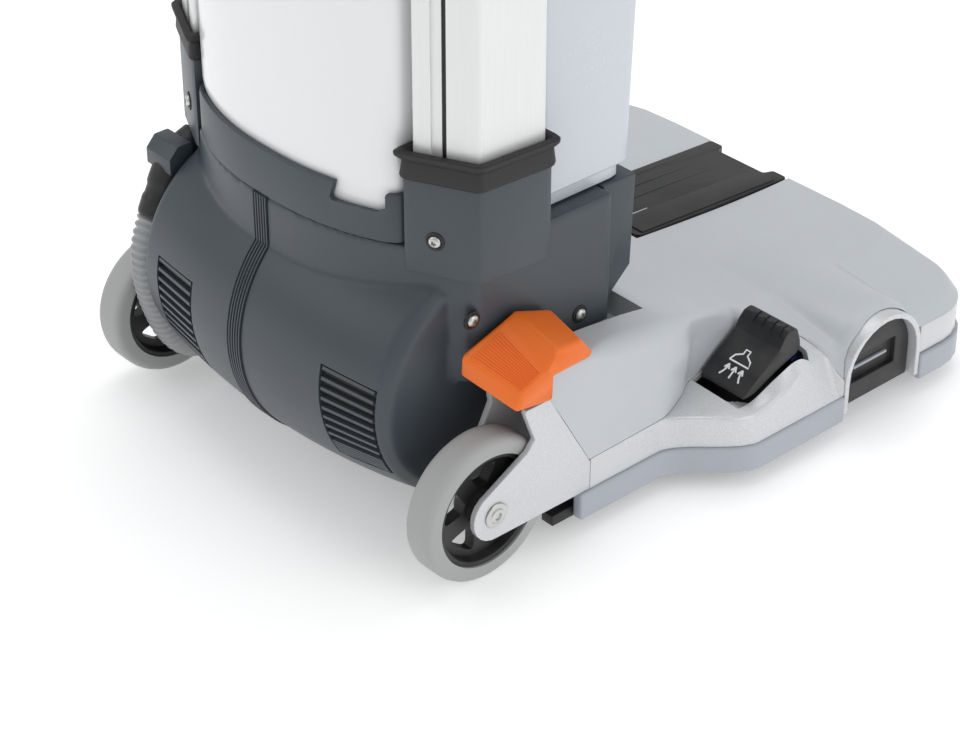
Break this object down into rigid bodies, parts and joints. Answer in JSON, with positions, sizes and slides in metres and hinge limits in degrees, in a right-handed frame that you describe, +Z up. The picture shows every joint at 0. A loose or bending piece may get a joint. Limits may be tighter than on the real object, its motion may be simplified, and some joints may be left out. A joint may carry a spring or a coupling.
{
  "type": "wet dry floor scrubber",
  "caption": "Compact upright wet dry floor scrubber: low wheeled deck with a cylindrical brush and squeegees, tilting body with motor housing, two tanks and a loop handle.",
  "frame": {"origin": "on the floor under the middle of the machine's bounding box", "axes": "+Z up along the standing machine, +Y forwards in the cleaning direction, +X to the operator's right"},
  "size_m": [0.364, 0.4028, 1.15],
  "materials": {
    "slate_plastic": "satin",
    "black_plastic": "matte",
    "cover_grey": "satin",
    "silver_trim": "fine metallic",
    "bumper_grey": "satin",
    "pedal_orange": "satin",
    "tank_white": "glossy",
    "tank_grey": "glossy",
    "aluminium": "anodised",
    "steel": "zinc plated",
    "black_rubber": "matte",
    "tyre_grey": "matte",
    "bristle": "matte",
    "hose_grey": "satin"
  },
  "bodies": {
    "deck": {"deck_cover": "cover_grey", "chassis": "black_plastic", "side_trim_right": "silver_trim", "side_trim_left": "silver_trim", "front_trim": "silver_trim", "bumper_right": "bumper_grey", "bumper_front": "bumper_grey", "brush_opening_ring": "silver_trim", "front_squeegee_holder": "black_plastic", "front_squeegee_blade": "black_rubber", "rear_squeegee_holder": "black_plastic", "rear_squeegee_blade": "black_rubber", "wheel_bracket_right": "silver_trim", "wheel_bracket_left": "silver_trim", "wheel_axle_right": "steel", "wheel_axle_left": "steel", "pivot_bracket_right": "cover_grey", "pivot_bracket_left": "cover_grey", "pedal_spring": "steel", "brush_motor": "steel", "drive_belt": "black_rubber", "suction_hose": "hose_grey"},
    "wheel_right": {"tyre_right": "tyre_grey", "hub_right": "black_plastic"},
    "wheel_left": {"tyre_left": "tyre_grey", "hub_left": "black_plastic"},
    "tilt_pedal": {"tilt_pedal": "pedal_orange"},
    "suction_rocker": {"suction_rocker": "black_plastic"},
    "duct_panel": {"duct_panel": "black_plastic"},
    "brush_carrier": {"brush_end_cap": "black_plastic"},
    "brush": {"brush_core": "black_plastic", "brush_bristles": "bristle"},
    "brush_pulley": {"brush_pulley": "black_plastic"},
    "motor_pulley": {"motor_pulley": "steel"},
    "upright": {"motor_housing_left": "slate_plastic", "motor_housing_right": "slate_plastic", "housing_rib": "slate_plastic", "front_base_cover": "slate_plastic", "tank_cradle": "slate_plastic", "hose_elbow": "black_plastic", "post_socket_left": "slate_plastic", "post_socket_right": "slate_plastic", "post_collar_left": "black_rubber", "post_collar_right": "black_rubber", "post_left": "aluminium", "post_right": "aluminium", "vacuum_motor": "steel", "solution_pump": "black_plastic", "handle_yoke": "slate_plastic", "handle_tube": "aluminium", "handle_head": "slate_plastic", "grip_loop": "black_rubber"},
    "vacuum_fan": {"vacuum_fan": "aluminium"},
    "solution_tank": {"solution_tank": "tank_white"},
    "solution_tank_cap": {"solution_tank_cap": "black_plastic"},
    "recovery_tank": {"recovery_tank": "tank_grey"},
    "recovery_tank_lid": {"recovery_tank_lid": "slate_plastic"},
    "dosing_trigger": {"dosing_trigger": "pedal_orange"},
    "power_switch": {"power_switch": "pedal_orange"},
    "cable_hook": {"cable_hook": "black_plastic"}
  },
  "joints": [
    {"name": "upright_tilt", "type": "hinge", "parent": "deck", "child": "upright", "pos_m": [0, -0.1215, 0.092], "axis": [1, 0, 0], "range_deg": [0, 50], "deforming": ["suction_hose"]},
    {"name": "wheel_right_spin", "type": "hinge", "parent": "deck", "child": "wheel_right", "pos_m": [0.1361, -0.1535, 0.0425], "axis": [1, 0, 0], "continuous": true},
    {"name": "wheel_left_spin", "type": "hinge", "parent": "deck", "child": "wheel_left", "pos_m": [-0.1361, -0.1535, 0.0425], "axis": [1, 0, 0], "continuous": true},
    {"name": "pedal_press", "type": "hinge", "parent": "deck", "child": "tilt_pedal", "pos_m": [0.136, -0.1125, 0.111], "axis": [1, 0, 0], "range_deg": [0, 6.5], "stiffness_Nm_per_rad": 0.4, "springref_deg": -2.86, "deforming": ["pedal_spring"]},
    {"name": "rocker_tip", "type": "hinge", "parent": "deck", "child": "suction_rocker", "pos_m": [0.152, 0.0345, 0.052], "axis": [1, 0, 0], "range_deg": [-6, 0]},
    {"name": "panel_lift", "type": "slide", "parent": "deck", "child": "duct_panel", "axis": [0, 0, 1], "range_m": [0, 0.06]},
    {"name": "brush_pull_out", "type": "slide", "parent": "deck", "child": "brush_carrier", "axis": [1, 0, 0], "range_m": [0, 0.33]},
    {"name": "brush_spin", "type": "hinge", "parent": "brush_carrier", "child": "brush", "pos_m": [0, 0.1145, 0.0285], "axis": [1, 0, 0], "continuous": true},
    {"name": "brush_pulley_spin", "type": "hinge", "parent": "deck", "child": "brush_pulley", "pos_m": [-0.135, 0.1145, 0.0285], "axis": [1, 0, 0], "continuous": true},
    {"name": "motor_pulley_spin", "type": "hinge", "parent": "deck", "child": "motor_pulley", "pos_m": [-0.13, 0.0085, 0.049], "axis": [1, 0, 0], "continuous": true},
    {"name": "fan_spin", "type": "hinge", "parent": "upright", "child": "vacuum_fan", "pos_m": [0, -0.1215, 0.092], "axis": [1, 0, 0], "continuous": true},
    {"name": "solution_tank_lift", "type": "slide", "parent": "upright", "child": "solution_tank", "axis": [0, 0, 1], "range_m": [0, 0.06]},
    {"name": "solution_cap_turn", "type": "hinge", "parent": "solution_tank", "child": "solution_tank_cap", "pos_m": [0, -0.1315, 0.52], "axis": [0, 0, 1], "range_deg": [0, 90]},
    {"name": "recovery_tank_lift", "type": "slide", "parent": "upright", "child": "recovery_tank", "axis": [0, 0, 1], "range_m": [0, 0.06]},
    {"name": "recovery_lid_open", "type": "hinge", "parent": "recovery_tank", "child": "recovery_tank_lid", "pos_m": [0, -0.0075, 0.5003], "axis": [-1, 0, 0], "range_deg": [0, 75]},
    {"name": "trigger_squeeze", "type": "hinge", "parent": "upright", "child": "dosing_trigger", "pos_m": [0, -0.1045, 1.144], "axis": [-1, 0, 0], "range_deg": [0, 12], "stiffness_Nm_per_rad": 0.2, "springref_deg": -5.73},
    {"name": "switch_rock", "type": "hinge", "parent": "upright", "child": "power_switch", "pos_m": [0, -0.1425, 1.008], "axis": [1, 0, 0], "range_deg": [0, 5]},
    {"name": "hook_turn", "type": "hinge", "parent": "upright", "child": "cable_hook", "pos_m": [0, -0.1398, 0.925], "axis": [0, 1, 0], "range_deg": [0, 180]}
  ],
  "couplings": [
    {"joint": "brush_pulley_spin", "follows": "brush_spin", "ratio": 1},
    {"joint": "motor_pulley_spin", "follows": "brush_spin", "ratio": 2.5}
  ]
}
